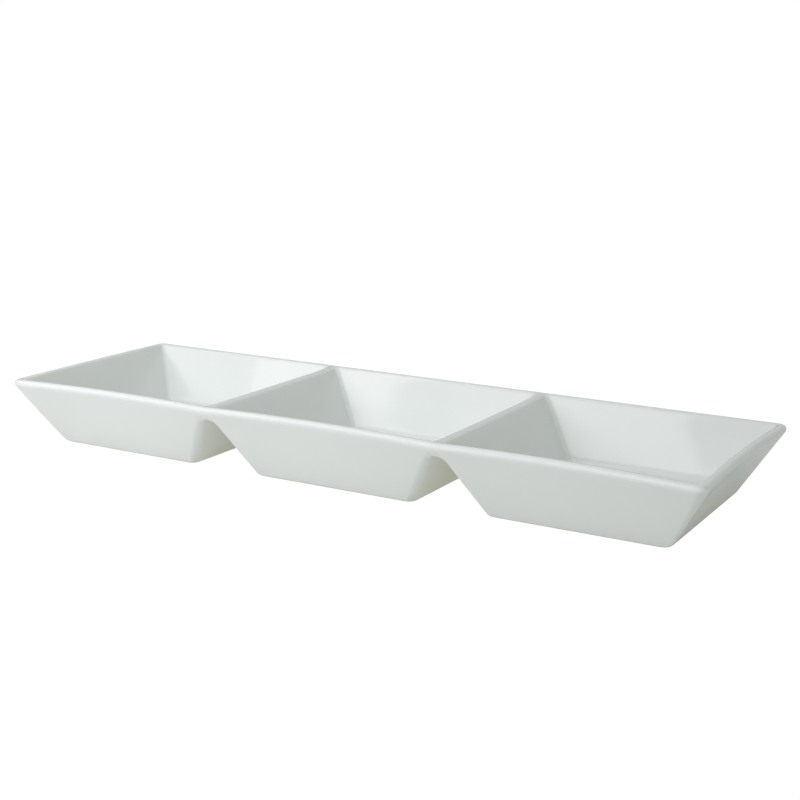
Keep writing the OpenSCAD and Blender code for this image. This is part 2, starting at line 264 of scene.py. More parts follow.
print("foot ring:", len(foot_profile(long_edge)), "points, from", foot_profile(long_edge)[0].round(2),
      "mm; the lip ends at", band_point(long_lean, 1, 0).round(2), "mm")

# %% [markdown]
# ## From profiles to rings
#
# A basin is square, so a ring round it has four sides, and each side follows its own
# profile: a long wall, an end wall or a divider. A level holds one point of each, and
# how round the ring's corners are. Stacking the rings gives a grid of four-sided faces,
# which shades smoothly; basins cut out of a block with booleans would shade in patches.
# Where a divider meets the lip, the corner has to turn from round, low in the basin, to
# square at the crest, so a corner blends the two.

# %% Levels of a basin
FLOOR_CORNER_RADIUS = INNER_CORNER_FOOT_RADIUS / 2
CREST_CORNER_RADIUS = RIM_CORNER_RADIUS / 2
JOINT_REACH = INNER_CORNER_TOP_RADIUS      # how far the end of a divider takes to blend into the lip


def new_level(long, end, divider, outer_corner, joint_corner, rounded=False):
    """One point of each profile; a corner is its radius and how round it is, from 0 to 1."""
    return {"long": long, "end": end, "divider": divider,
            "outer": outer_corner, "joint": joint_corner, "rounded": rounded}


def inner_corner_radius(k):
    """Radius of an inside corner at level k: growing over the fillet, the wall and the lip."""
    if k <= FILLET_STEPS:
        return between(FLOOR_CORNER_RADIUS, INNER_CORNER_FOOT_RADIUS, k / FILLET_STEPS)
    if k <= FILLET_STEPS + WALL_STEPS:
        return between(INNER_CORNER_FOOT_RADIUS, INNER_CORNER_TOP_RADIUS, (k - FILLET_STEPS) / WALL_STEPS)
    t = (k - FILLET_STEPS - WALL_STEPS) / ROUND_STEPS
    return between(INNER_CORNER_TOP_RADIUS, CREST_CORNER_RADIUS, t)


def inside_levels(skin):
    long = inside_profile(lip_centre, LIP_RADIUS, long_lean, skin)
    end = inside_profile(lip_centre, LIP_RADIUS, end_lean, skin)
    divider = inside_profile(divider_centre, DIVIDER_RADIUS, DIVIDER_LEAN, skin)
    levels = []
    for k in range(INSIDE_COUNT):
        radius = inner_corner_radius(k)
        over = max(0, k - FILLET_STEPS - WALL_STEPS) / ROUND_STEPS
        joint = JOINT_REACH if k >= FILLET_STEPS + WALL_STEPS else radius
        levels.append(new_level(long[k], end[k], divider[k], (radius, 1), (joint, 1 - over)))
    return levels


print(len(inside_levels(0)), "levels inside a basin")

# %% Levels of the lip, the outside and the foot
CORNER_GROWTH = 3           # an outer corner stays tight low down and opens near the rim


def band_level(t, skin):
    divider = divider_centre + (DIVIDER_RADIUS - skin) * unit(QUARTER)
    radius = between(CREST_CORNER_RADIUS, RIM_CORNER_RADIUS, t)
    reach = between(JOINT_REACH, NOTCH_EDGE_RADIUS, t)
    return new_level(band_point(long_lean, t, skin), band_point(end_lean, t, skin), divider,
                     (radius, 1), (reach, 0))


def notch_level(skin):
    notch = notch_centre + (NOTCH_RADIUS + skin) * unit(QUARTER)
    return new_level(band_point(long_lean, 1, skin), band_point(end_lean, 1, skin), notch,
                     (RIM_CORNER_RADIUS, 1), (NOTCH_EDGE_RADIUS, 0), rounded=True)


def outside_levels(skin):
    long = outer_profile(long_edge, long_lean, skin)
    end = outer_profile(end_edge, end_lean, skin)
    divider = notch_profile(skin)
    levels = []
    for k in range(OUTSIDE_COUNT):
        grown = min(1, (k + 1) / ROUND_STEPS)
        corner = between(BOTTOM_CORNER_RADIUS, RIM_CORNER_RADIUS, (long[k][1] / wall_top) ** CORNER_GROWTH)
        levels.append(new_level(long[k], end[k], divider[k], (corner, 1),
                                (NOTCH_EDGE_RADIUS, grown), rounded=True))
    return levels


def plain_levels(profile, *skin):
    """Levels of the foot, which keep the corners that they meet at the glaze line."""
    walls = [profile(edge, *skin) for edge in (long_edge, end_edge, notch_edge)]
    return [new_level(*points, (BOTTOM_CORNER_RADIUS, 1), (NOTCH_EDGE_RADIUS, 1))
            for points in zip(*walls)]


print(len(outside_levels(0)), "levels outside,", len(plain_levels(foot_profile)), "on a foot ring")

# %% [markdown]
# ## Points round a ring
#
# A ring starts at the front left corner and runs round the basin. Every side has the
# same number of points, a few on each corner and the rest spread along the straight
# part, so that any two rings can be joined point to point. A round corner pulls its
# points off the square corner; a square one leaves them on it. Beside a divider the
# ring also climbs or drops to the divider's own height.

# %% Sides, bays and corners
CORNER_STEPS, STRAIGHT_STEPS = 6, 22
SIDE_POINTS = 2 * CORNER_STEPS + STRAIGHT_STEPS
FRONT, RIGHT, BACK, LEFT = range(4)
SIDES = (FRONT, RIGHT, BACK, LEFT)
WAYS = np.array([[1, 0], [0, 1], [-1, 0], [0, -1]], float)
RING_POINTS = len(SIDES) * SIDE_POINTS
BAYS = ((-RIM_LENGTH / 2, -HALF_BAY), (-HALF_BAY, HALF_BAY), (HALF_BAY, RIM_LENGTH / 2))
BAY_COUNT, DIVIDER_COUNT = len(BAYS), len(BAYS) - 1
LEFT_IS_DIVIDER = (False, True, True)
RIGHT_IS_DIVIDER = (True, True, False)


def corner_offset(step, corner, first, second):
    """From a square corner to a point near it: reach along a side, drawn in to an arc."""
    radius, roundness = corner
    t = step / CORNER_STEPS
    square = -t * radius * first if t < 0 else t * radius * second
    turn = unit(QUARTER / 2 * (1 + t))
    arc = radius * (first + second) - radius * (turn[0] * second + turn[1] * first)
    return between(square, arc, roundness)


def fall(t, rounded):
    """Height along a corner: easing inside a basin, rounding over like an edge at a notch."""
    return math.sqrt(t * (2 - t)) if rounded else t * t * (3 - 2 * t)


print(SIDE_POINTS, "points a side,", RING_POINTS, "a ring")


# %% Points round one level
def side_point(bay, level, side, i):
    """Point i of one side of a ring, counted from the corner where the side begins."""
    left = level["divider"] if LEFT_IS_DIVIDER[bay] else level["end"]
    right = level["divider"] if RIGHT_IS_DIVIDER[bay] else level["end"]
    x = (BAYS[bay][0] + left[0], BAYS[bay][1] - right[0])
    y = (-RIM_WIDTH / 2 + level["long"][0], RIM_WIDTH / 2 - level["long"][0])
    plan = np.array([[x[0], y[0]], [x[1], y[0]], [x[1], y[1]], [x[0], y[1]]])
    joint = (LEFT_IS_DIVIDER[bay], RIGHT_IS_DIVIDER[bay], RIGHT_IS_DIVIDER[bay], LEFT_IS_DIVIDER[bay])
    after = (side + 1) % len(SIDES)
    first = level["joint"] if joint[side] else level["outer"]
    second = level["joint"] if joint[after] else level["outer"]
    from_end = SIDE_POINTS - i
    if i <= CORNER_STEPS:
        place = plan[side] + corner_offset(i, first, -WAYS[side - 1], WAYS[side])
    elif from_end <= CORNER_STEPS:
        place = plan[after] + corner_offset(-from_end, second, -WAYS[side], WAYS[after])
    else:
        start, finish = plan[side] + first[0] * WAYS[side], plan[after] - second[0] * WAYS[side]
        place = start + (finish - start) * (i - CORNER_STEPS) / STRAIGHT_STEPS
    height = level["long"][1]
    if side in (RIGHT, LEFT):
        near = min(i, from_end, CORNER_STEPS) / CORNER_STEPS
        height += ((right if side == RIGHT else left)[1] - height) * fall(near, level["rounded"])
    return (*place, height)


def ring(bay, level):
    return [side_point(bay, level, side, i) for side in SIDES for i in range(SIDE_POINTS)]


RIM_SIDES = ((0, FRONT), (1, FRONT), (2, FRONT), (2, RIGHT), (2, BACK), (1, BACK), (0, BACK), (0, LEFT))
RIM_POINTS = len(RIM_SIDES) * SIDE_POINTS


def rim_loop(level):
    """The loop right round the rim, past all three basins."""
    return [side_point(bay, level, side, i) for bay, side in RIM_SIDES for i in range(SIDE_POINTS)]


def divider_line(divider, level):
    """The line along a divider, without its two ends, which belong to the rim."""
    return [side_point(divider, level, RIGHT, i) for i in range(1, SIDE_POINTS)]


print("rim loop:", RIM_POINTS, "points, divider:", len(divider_line(0, band_level(0, 0))))

# %% [markdown]
# ## One sheet for the whole glazed surface
#
# The inside of the basins, the crest of the dividers, the lip and the outside form one
# unbroken sheet. Neighbouring rings share their points there, so no seam can show. Four
# separate shells, stitched afterwards, would leave creases in the shading. The clay's
# skin and the glaze's skin are the same sheet at two depths.

# %% Points of the sheet
BAND_STEPS = 14
DIVIDER_POINTS = SIDE_POINTS - 1
RIM_BASE = BAY_COUNT * INSIDE_COUNT * RING_POINTS
CREST_BASE = RIM_BASE + (BAND_STEPS + 1) * RIM_POINTS
NOTCH_BASE = CREST_BASE + DIVIDER_COUNT * DIVIDER_POINTS
OUTSIDE_BASE = NOTCH_BASE + DIVIDER_COUNT * DIVIDER_POINTS


def sheet_points(skin):
    points = []
    for bay in range(BAY_COUNT):
        for level in inside_levels(skin):
            points += ring(bay, level)
    for t in shares(BAND_STEPS):
        points += rim_loop(band_level(t, skin))
    for level in (band_level(0, skin), notch_level(skin)):
        for divider in range(DIVIDER_COUNT):
            points += divider_line(divider, level)
    for bay in range(BAY_COUNT):
        for level in outside_levels(skin):
            points += ring(bay, level)
    return np.array(points)


print("the sheet has", OUTSIDE_BASE + BAY_COUNT * OUTSIDE_COUNT * RING_POINTS, "points")


# %% Faces of the sheet
def numbers(base, count):
    return np.arange(base, base + count)


def edge_number(bay, side, i, rim, line):
    """Number of a point that a basin's ring shares with the rim or with its neighbour."""
    if (bay, side) in RIM_SIDES:
        return rim + RIM_SIDES.index((bay, side)) * SIDE_POINTS + i
    if i == 0:
        next_on_rim = (bay + 1, FRONT) if side == RIGHT else (bay - 1, BACK)
        return rim + RIM_SIDES.index(next_on_rim) * SIDE_POINTS
    if side == RIGHT:
        return line + bay * DIVIDER_POINTS + i - 1
    return line + (bay - 1) * DIVIDER_POINTS + SIDE_POINTS - i - 1


def edge_ring(bay, rim, line):
    return np.array([edge_number(bay, side, i, rim, line) for side in SIDES for i in range(SIDE_POINTS)])


def strips(rings):
    """Four-sided faces between each pair of neighbouring rings."""
    faces = []
    for upper, lower in zip(rings[:-1], rings[1:]):
        faces.append(np.column_stack([upper, np.roll(upper, -1), np.roll(lower, -1), lower]))
    return np.vstack(faces)


def inside_ring(base, bay, k):
    return numbers(base + (bay * INSIDE_COUNT + k) * RING_POINTS, RING_POINTS)


def outside_ring(base, bay, k):
    return numbers(base + OUTSIDE_BASE + (bay * OUTSIDE_COUNT + k) * RING_POINTS, RING_POINTS)


def sheet_faces(base):
    rim, crest, notch = base + RIM_BASE, base + CREST_BASE, base + NOTCH_BASE
    faces = [strips([numbers(rim + b * RIM_POINTS, RIM_POINTS) for b in range(BAND_STEPS + 1)])]
    for bay in range(BAY_COUNT):
        faces.append(strips([inside_ring(base, bay, k) for k in range(INSIDE_COUNT)]
                            + [edge_ring(bay, rim, crest)]))
        faces.append(strips([edge_ring(bay, rim + BAND_STEPS * RIM_POINTS, notch)]
                            + [outside_ring(base, bay, k) for k in range(OUTSIDE_COUNT)]))
    return np.vstack(faces)


print("and", len(sheet_faces(0)), "faces")

# %% [markdown]
# ## Firing
#
# Clay moves in the kiln. The long thin walls of this dish have drawn in between the
# corners, by nearly 4 mm in the middle, and the rim has lifted there by 1 mm. On so long
# a dish one hardly sees it, but without it the dish looks like a drawing and not like
# porcelain. The movement grows with height, because the foot is held flat by the kiln
# shelf. A lattice could bend the mesh by hand; a formula moves the clay and the glaze by
# the same amount.

# %% Warp of the fired clay
LONG_SIDE_BOW, BAY_BOW, END_BOW = 2.1, 2.0, 1.8
LONG_SIDE_LIFT_SHARE, END_LIFT_SHARE = 0.27, 0.44
LIFT_POWER, END_POWER = 4, 8    # high powers keep a movement near the rim or near the ends


def dome(t):
    return np.maximum(0, 1 - t * t)


def fired(points):
    """Moves points, one per row, the way the clay moved."""
    x, y, z = points.T
    outer_half = (RIM_LENGTH - MIDDLE_BAY_LENGTH) / 4
    middle = np.abs(x) < HALF_BAY
    centre = np.where(middle, 0, np.sign(x) * (HALF_BAY + outer_half))
    half = np.where(middle, HALF_BAY, outer_half)
    rise, along, side = z / RIM_HEIGHT, 2 * x / RIM_LENGTH, 2 * y / RIM_WIDTH
    draw = LONG_SIDE_BOW * dome(along) + BAY_BOW * dome((x - centre) / half)
    end_draw = END_BOW * dome(side) * np.abs(along) ** END_POWER
    lift = LONG_SIDE_LIFT_SHARE * draw * side ** LIFT_POWER + END_LIFT_SHARE * end_draw
    return np.column_stack([x - end_draw * rise * along, y - draw * side * rise, z + lift * rise])


front_middle = np.array([[0.0, -RIM_WIDTH / 2, RIM_HEIGHT]])
print("the middle of the front rim moves by", (fired(front_middle) - front_middle).round(2)[0], "mm")

# %% [markdown]
# ## Where glaze gathers
#
# Glaze is glass that ran while it was hot. It gathers in the hollows, where it looks a
# little deeper and cooler, and it draws back from lips and edges, where the clay warms
# it. Painting that by hand would take a texture. Here the mesh tells it instead: where
# neighbouring points stand above a point's own plane the surface is hollow, and where
# they fall below it, the surface is an edge. The result is stored as a number per
# point, which the materials read.

# %% How hollow the surface is at each point
HOLLOW_REACH = 1.2          # in mm: half the radius of a round hollow that counts as fully hollow
FLAT = 0.5                  # value of a flat place; edges come near 0, tight hollows near 1
SMOOTHING_ROUNDS = 3
SHORTEST = 1e-12            # square of a length, so that no edge is divided by nothing


def mesh_arrays(data):
    """Points, normals and edges of a mesh, as arrays."""
    points = np.empty(3 * len(data.vertices), np.float32)
    normals = np.empty(3 * len(data.vertices), np.float32)
    edges = np.empty(2 * len(data.edges), np.int32)
    data.vertices.foreach_get("co", points)
    data.vertices.foreach_get("normal", normals)
    data.edges.foreach_get("vertices", edges)
    return points.reshape(-1, 3).astype(float), normals.reshape(-1, 3), edges.reshape(-1, 2)


def hollowness(points, normals, edges):
    """One value per point: how far its neighbours stand above or fall below its plane."""
    start, end = edges.T
    along = points[end] - points[start]
    length = np.maximum((along ** 2).sum(axis=1), SHORTEST)
    count = np.bincount(edges.ravel(), minlength=len(points))
    bend = np.zeros(len(points))
    np.add.at(bend, start, 2 * (along * normals[start]).sum(axis=1) / length)
    np.add.at(bend, end, -2 * (along * normals[end]).sum(axis=1) / length)
    bend /= count
    for _ in range(SMOOTHING_ROUNDS):
        total = np.bincount(start, bend[end], len(points)) + np.bincount(end, bend[start], len(points))
        bend = (bend + total) / (1 + count)
    return np.clip(FLAT + bend * HOLLOW_REACH * MM, 0, 1)


print("a round hollow counts in full up to a radius of", HOLLOW_REACH / FLAT, "mm")

# %% [markdown]
# ## Gathering a mesh
#
# Each piece is made of several strips of rings, and of flat fields that fill the last
# ring. A small class collects their points and faces, because the number of a face's
# first point depends on what was added before it. A field is filled with shrinking
# rings and not with one big face, so it bends with the firing and shades evenly.

# %% A mesh, gathered part by part
FLOOR_STEPS = 8
LAST_RING_SIZE = 1 / FLOOR_STEPS / 2


class Mesh:
    """Points and faces of one piece. Faces are turned outward, or inward where asked."""

    def __init__(self):
        self.points, self.faces, self.count = [], [], 0

    def add_points(self, points):
        first = self.count
        self.points.append(np.asarray(points, float))
        self.count += len(points)
        return first

    def add_faces(self, faces, turned=False):
        self.faces += [list(f) if turned else list(f)[::-1] for f in faces]

    def fill(self, edge, points, turned=False):
        """Rings that shrink towards the middle of a ring, then one small face."""
        middle = points.mean(axis=0)
        rings = [np.asarray(edge)]
        for t in shares(FLOOR_STEPS)[1:]:
            shrunk = middle + (points - middle) * (1 - t * (1 - LAST_RING_SIZE))
            rings.append(numbers(self.add_points(shrunk), len(points)))
        self.add_faces(strips(rings), turned)
        self.add_faces([rings[-1]], turned)

    def build(self, name, material):
        data = bpy.data.meshes.new(name)
        points = fired(np.vstack(self.points)) * MM
        data.from_pydata(points.tolist(), [], self.faces)
        data.validate()
        data.polygons.foreach_set("use_smooth", [True] * len(data.polygons))
        hollow = data.attributes.new("hollowness", "FLOAT", "POINT")
        hollow.data.foreach_set("value", hollowness(*mesh_arrays(data)))
        data.materials.append(material)
        obj = bpy.data.objects.new(name, data)
        bpy.context.scene.collection.objects.link(obj)
        print(name, len(data.vertices), "points,", len(data.polygons), "faces, box in mm",
              [round(float(v) / MM, 2) for v in (*points.min(axis=0), *points.max(axis=0))])
        return obj


print("the last ring of a field is", LAST_RING_SIZE, "of its size")

# %% [markdown]
# ## Building blocks for shaders
#
# A material is a small graph of nodes. Four helpers keep it readable: they make a group,
# a node with its values, a sum, and a mix of two colours. What several materials share
# becomes a node group, which is built once and placed in each material with its own
# values. It could be copied into each material instead, but this way a better ripple
# improves every finish at once.

# %% Helpers for nodes
MIX_FIRST, MIX_SECOND, MIX_RESULT = 6, 7, 2     # colour sockets of a Mix node


def new_group(name, inputs, outputs):
    """A node group with its input and output nodes; inputs are (name, type, value)."""
    group = bpy.data.node_groups.new(name, "ShaderNodeTree")
    for label, kind, value in inputs:
        socket = group.interface.new_socket(label, in_out="INPUT", socket_type=kind)
        socket.default_value = value
    for label, kind in outputs:
        group.interface.new_socket(label, in_out="OUTPUT", socket_type=kind)
    return group, group.nodes.new("NodeGroupInput"), group.nodes.new("NodeGroupOutput")


def add_node(tree, kind, values=(), **settings):
    """A node with its settings; values are (input, number or socket to link)."""
    node = tree.nodes.new(kind)
    for key, value in settings.items():
        setattr(node, key, value)
    for key, value in values:
        if isinstance(value, bpy.types.NodeSocket):
            tree.links.new(value, node.inputs[key])
        else:
            node.inputs[key].default_value = value
    return node


def calculate(tree, operation, *values, **settings):
    """The result of one Math node; values are numbers or sockets."""
    return add_node(tree, "ShaderNodeMath", enumerate(values), operation=operation, **settings).outputs[0]


def mix_colours(tree, share, first, second):
    """The first colour where share is 0 and the second where it is 1."""
    values = [("Factor", share), (MIX_FIRST, first), (MIX_SECOND, second)]
    return add_node(tree, "ShaderNodeMix", values, data_type="RGBA").outputs[MIX_RESULT]


print("a Mix node takes its colours at", MIX_FIRST, "and", MIX_SECOND, "and gives one at", MIX_RESULT)

# %% [markdown]
# ## Ripple and grain
#
# Look along a glazed wall and its reflection wavers, because the glaze froze while it
# still flowed. Bare clay is the other way round: no ripple that one can see, but a fine
# dry grain. Both are noise, only at very different sizes, so one group gives both: a
# height for the bumps, and a slow mottle that lets colour and gloss wander a little. A
# painted texture would have to be wrapped round the dish, but noise fills the space.

# %% Group: fired texture
RIPPLE_DETAIL, GRAIN_DETAIL = 1.0, 3.0
MOTTLE_SIZE = 0.2           # mottles per ripple: five times as wide


def fired_texture():
    """Ripple and grain of a fired surface: a height for bumps and a slow mottle."""
    group, given, result = new_group(
        "fired_texture",
        [("Ripples per Metre", "NodeSocketFloat", 150.0), ("Grains per Metre", "NodeSocketFloat", 3000.0),
         ("Grain Share", "NodeSocketFloat", 0.1)],
        [("Height", "NodeSocketFloat"), ("Mottle", "NodeSocketFloat")])
    place = add_node(group, "ShaderNodeTexCoord").outputs["Object"]
    ripple, grain = [
        add_node(group, "ShaderNodeTexNoise",
                 [("Vector", place), ("Scale", given.outputs[label]), ("Detail", detail)]).outputs["Fac"]
        for label, detail in (("Ripples per Metre", RIPPLE_DETAIL), ("Grains per Metre", GRAIN_DETAIL))]
    height = add_node(group, "ShaderNodeMix",
                      [("Factor", given.outputs["Grain Share"]), ("A", ripple), ("B", grain)])
    mottles = calculate(group, "MULTIPLY", given.outputs["Ripples per Metre"], MOTTLE_SIZE)
    mottle = add_node(group, "ShaderNodeTexNoise", [("Vector", place), ("Scale", mottles)])
    group.links.new(height.outputs["Result"], result.inputs["Height"])
    group.links.new(mottle.outputs["Fac"], result.inputs["Mottle"])
    return group


texture_group = fired_texture()
print(texture_group.name, "has", len(texture_group.nodes), "nodes")

# %% [markdown]
# ## A glaze that pools
#
# This group turns the hollowness of the mesh into colour: thin glaze on the edges, deep
# glaze in the corners of a basin. A gradient by height would be simpler, but it would
# colour whole walls and not the corners. The mottle shifts the border between the two,
# because a real glaze is never laid on evenly, and it varies the roughness by a fifth.

# %% Group: pooled glaze
MOTTLE_SHIFT = 0.3          # how far the mottle moves the depth of the glaze, from end to end
SMOOTHEST, ROUGHEST = 0.8, 1.2


def pooled_glaze():
    """Colour and roughness of a glaze that is deeper in hollows and thinner on edges."""
    group, given, result = new_group(
        "pooled_glaze",
        [("Thin Colour", "NodeSocketColor", (1, 1, 1, 1)), ("Deep Colour", "NodeSocketColor", (1, 1, 1, 1)),
         ("Hollowness", "NodeSocketFloat", FLAT), ("Mottle", "NodeSocketFloat", 0.5),
         ("Roughness", "NodeSocketFloat", 0.1)],
        [("Colour", "NodeSocketColor"), ("Roughness", "NodeSocketFloat")])
    mottle = given.outputs["Mottle"]
    shift = calculate(group, "MULTIPLY_ADD", mottle, MOTTLE_SHIFT, -MOTTLE_SHIFT / 2)
    depth = calculate(group, "ADD", given.outputs["Hollowness"], shift, use_clamp=True)
    colour = mix_colours(group, depth, given.outputs["Thin Colour"], given.outputs["Deep Colour"])
    gloss = add_node(group, "ShaderNodeMapRange",
                     [("Value", mottle), ("To Min", SMOOTHEST), ("To Max", ROUGHEST)])
    roughness = calculate(group, "MULTIPLY", given.outputs["Roughness"], gloss.outputs["Result"])
    group.links.new(colour, result.inputs["Colour"])
    group.links.new(roughness, result.inputs["Roughness"])
    return group


glaze_group = pooled_glaze()
print(glaze_group.name, "has", len(glaze_group.nodes), "nodes")

# %% [markdown]
# ## White glaze, foot glaze and bare clay
#
# The glaze is a Principled BSDF with a low roughness: a white body under a smooth, clear
# surface, which is what that shader already is, so no separate coat is needed. Under
# the feet the same glaze is laid on thinner and less evenly, and is duller. The bare
# rings are matt, creamy and a little scuffed. Every length in a bump is in metres, so
# the ripple of the white glaze is 0.04 mm high.

# %% Values of the finishes
GLAZE_TEXTURE = {"Ripples per Metre": 110.0, "Grains per Metre": 1400.0, "Grain Share": 0.06}
CLAY_TEXTURE = {"Ripples per Metre": 400.0, "Grains per Metre": 5000.0, "Grain Share": 0.7}
WHITE_GLAZE = {"thin": (0.805, 0.81, 0.80), "deep": (0.755, 0.79, 0.772), "roughness": 0.07,
               "ripple_height": 0.00004}
FOOT_GLAZE = {"thin": (0.79, 0.795, 0.78), "deep": (0.74, 0.775, 0.755), "roughness": 0.16,
              "ripple_height": 0.00008}
BARE_CLAY = {"clean": (0.76, 0.72, 0.65), "scuffed": (0.66, 0.62, 0.56), "roughness": 0.8,
             "grain_height": 0.0001}
SCUFF_START, SCUFF_END = 0.35, 0.65     # part of the mottle over which clean clay turns to scuffed
print("roughness:", [finish["roughness"] for finish in (WHITE_GLAZE, FOOT_GLAZE, BARE_CLAY)])


# %% Materials
def plain_material(name, colour, roughness):
    material = bpy.data.materials.new(name)
    material.use_nodes = True
    shader = material.node_tree.nodes["Principled BSDF"]
    shader.inputs["Base Color"].default_value = (*colour, 1)
    shader.inputs["Roughness"].default_value = roughness
    return material, material.node_tree, shader


def add_texture(tree, shader, sizes, height):
    """Places the fired texture in a material and bumps its shader by a height in metres."""
    texture = add_node(tree, "ShaderNodeGroup", sizes.items(), node_tree=texture_group)
    bump = add_node(tree, "ShaderNodeBump", [("Height", texture.outputs["Height"]), ("Distance", height)])
    tree.links.new(bump.outputs["Normal"], shader.inputs["Normal"])
    return texture


def glaze(name, thin, deep, roughness, ripple_height):
    material, tree, shader = plain_material(name, thin, roughness)
    texture = add_texture(tree, shader, GLAZE_TEXTURE, ripple_height)
    hollow = add_node(tree, "ShaderNodeAttribute", attribute_name="hollowness")
    pooled = add_node(tree, "ShaderNodeGroup",
                      [("Thin Colour", (*thin, 1)), ("Deep Colour", (*deep, 1)), ("Roughness", roughness),
                       ("Hollowness", hollow.outputs["Fac"]), ("Mottle", texture.outputs["Mottle"])],
                      node_tree=glaze_group)
    tree.links.new(pooled.outputs["Colour"], shader.inputs["Base Color"])
    tree.links.new(pooled.outputs["Roughness"], shader.inputs["Roughness"])
    return material


def bare_clay(name, clean, scuffed, roughness, grain_height):
    material, tree, shader = plain_material(name, clean, roughness)
    texture = add_texture(tree, shader, CLAY_TEXTURE, grain_height)
    spread = add_node(tree, "ShaderNodeMapRange", [("Value", texture.outputs["Mottle"]),
                                                   ("From Min", SCUFF_START), ("From Max", SCUFF_END)])
    colour = mix_colours(tree, spread.outputs["Result"], (*clean, 1), (*scuffed, 1))
    tree.links.new(colour, shader.inputs["Base Color"])
    return material


glaze_material = glaze("glossy_white_glaze", **WHITE_GLAZE)
foot_material = glaze("foot_glaze", **FOOT_GLAZE)
biscuit_material = bare_clay("bare_biscuit", **BARE_CLAY)
print("materials:", [m.name for m in (glaze_material, foot_material, biscuit_material)])

# %% [markdown]
# ## The glaze coat
#
# This is what one sees of the dish: glaze over the inside, the rim and the outside, as
# it comes out of the kiln. A plane without thickness would look the same from most
# sides, but the coat ends in a line just above the table. So it gets its real 0.3 mm:
# the sheet at its outer depth, the same sheet facing inward, and a narrow strip that
# closes the two along that line.


# %% The glaze coat
def add_sheet(mesh, skin, turned=False):
    """The glazed surface at one depth, with the floors of the basins."""
    points = sheet_points(skin)
    base = mesh.add_points(points)
    mesh.add_faces(sheet_faces(base), turned)
    for bay in range(BAY_COUNT):
        edge = inside_ring(base, bay, 0)
        mesh.fill(edge[::-1], points[(edge - base)[::-1]], turned)
    return base


def glaze_coat():
    mesh = Mesh()
    outer = add_sheet(mesh, 0)
    inner = add_sheet(mesh, GLAZE, turned=True)
    last = OUTSIDE_COUNT - 1
    for bay in range(BAY_COUNT):
        mesh.add_faces(strips([outside_ring(outer, bay, last), outside_ring(inner, bay, last)]))
    return mesh.build("white_glaze_coat", glaze_material)


coat = glaze_coat()
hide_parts("glaze_coat")
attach(coat, "root")

# %% [markdown]
# ## The clay body
#
# Under the glaze is the fired clay, called biscuit. It shows only on the three foot
# rings, which the potter wipes clean so that the dish doesn't stick to the kiln shelf.
# It is still modelled whole, as the same sheet one glaze deeper with the feet added, so
# the piece is closed and can be measured or cut like the real one.


# %% The clay body and its bare foot rings
def biscuit_body():
    mesh = Mesh()
    base = add_sheet(mesh, GLAZE)
    levels = plain_levels(foot_profile) + plain_levels(hollow_profile, GLAZE)
    for bay in range(BAY_COUNT):
        first = mesh.add_points([p for level in levels for p in ring(bay, level)])
        rings = [numbers(first + k * RING_POINTS, RING_POINTS) for k in range(len(levels))]
        mesh.add_faces(strips([outside_ring(base, bay, OUTSIDE_COUNT - 1)] + rings))
        mesh.fill(rings[-1], np.array(ring(bay, levels[-1])))
    return mesh.build("biscuit_body", biscuit_material)


body = biscuit_body()
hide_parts("porcelain_body")
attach(body, "root")

# %% [markdown]
# ## The glaze under the feet
#
# Inside each wiped ring the glaze stays on, in a shallow hollow that keeps it off the
# shelf. The ring parts these three patches from the coat and from each other, so each
# is a piece of its own: two thin faces with a sloping edge, made from the same two
# short profiles as the hollow in the clay.


# %% The glaze inside each foot ring
def base_glaze(bay, name):
    mesh = Mesh()
    outer = plain_levels(foot_profile)[-1:] + plain_levels(hollow_profile, 0)[1:]
    inner = plain_levels(hollow_profile, GLAZE)[::-1]
    levels = outer + inner
    first = mesh.add_points([p for level in levels for p in ring(bay, level)])
    rings = [numbers(first + k * RING_POINTS, RING_POINTS) for k in range(len(levels))]
    mesh.add_faces(strips([rings[0], rings[1]]))
    mesh.add_faces(strips([rings[2], rings[3], rings[0]]))
    mesh.fill(rings[1], np.array(ring(bay, levels[1])))
    mesh.fill(rings[2][::-1], np.array(ring(bay, levels[2])[::-1]))
    return mesh.build(name, foot_material)


for bay, place in enumerate(("left", "middle", "right")):
    patch = base_glaze(bay, "foot_glaze_" + place)
    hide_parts("base_glaze_" + place)
    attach(patch, "root")

# %% [markdown]
# ## The table
#
# The dish stands on a plain white sweep. For the camera alone it turns pure white, so
# nothing draws the eye from the dish, while light and reflections still meet the real,
# matt surface. Its glow is painted light: the table gives off a little slightly warm light,
# standing in for what a lit sweep throws back, and more under the dish, a hidden glow
# that lights the slanted faces inside the notches; under the feet the glow is white.
# The table lies a hair below the feet, so the two surfaces never flicker, and it is
# clear from below, so the feet can be looked at. A darker table with a shadow would be
# easier, but it would tint every wall of a white dish.

# %% Values of the table
TABLE_SIZE, TABLE_GAP = 12.0, 0.0002
TABLE_COLOUR, TABLE_ROUGHNESS = (0.8, 0.8, 0.8), 0.9
BACKDROP_LIGHT = 1.03
# painted light: colours and strengths of the table's glow, warm near and under the dish, white under the
# feet
WARM_GLOW, WHITE_GLOW = (1.0, 0.99, 0.76, 1), (1, 1, 1, 1)
TABLE_GLOW, UNDER_GLOW, FEET_GLOW = 0.065, 0.2, 0.15
TABLE_GLOW_REACH, NOTCH_GLOW_REACH = 0.5, 0.021
UNDER_HALF_LENGTH, UNDER_HALF_WIDTH = 0.165, 0.042
print("table glow", TABLE_GLOW, "and under the dish", TABLE_GLOW + UNDER_GLOW)


# %% Surface of the table
def white_for_camera(tree, surface, output):
    """What the camera sees is plain white; light and reflections get the real surface."""
    camera_ray = add_node(tree, "ShaderNodeLightPath").outputs["Is Camera Ray"]
    white = add_node(tree, "ShaderNodeEmission", [("Strength", BACKDROP_LIGHT)])
    mix = add_node(tree, "ShaderNodeMixShader", [(0, camera_ray), (1, surface), (2, white.outputs[0])])
    tree.links.new(mix.outputs[0], output)


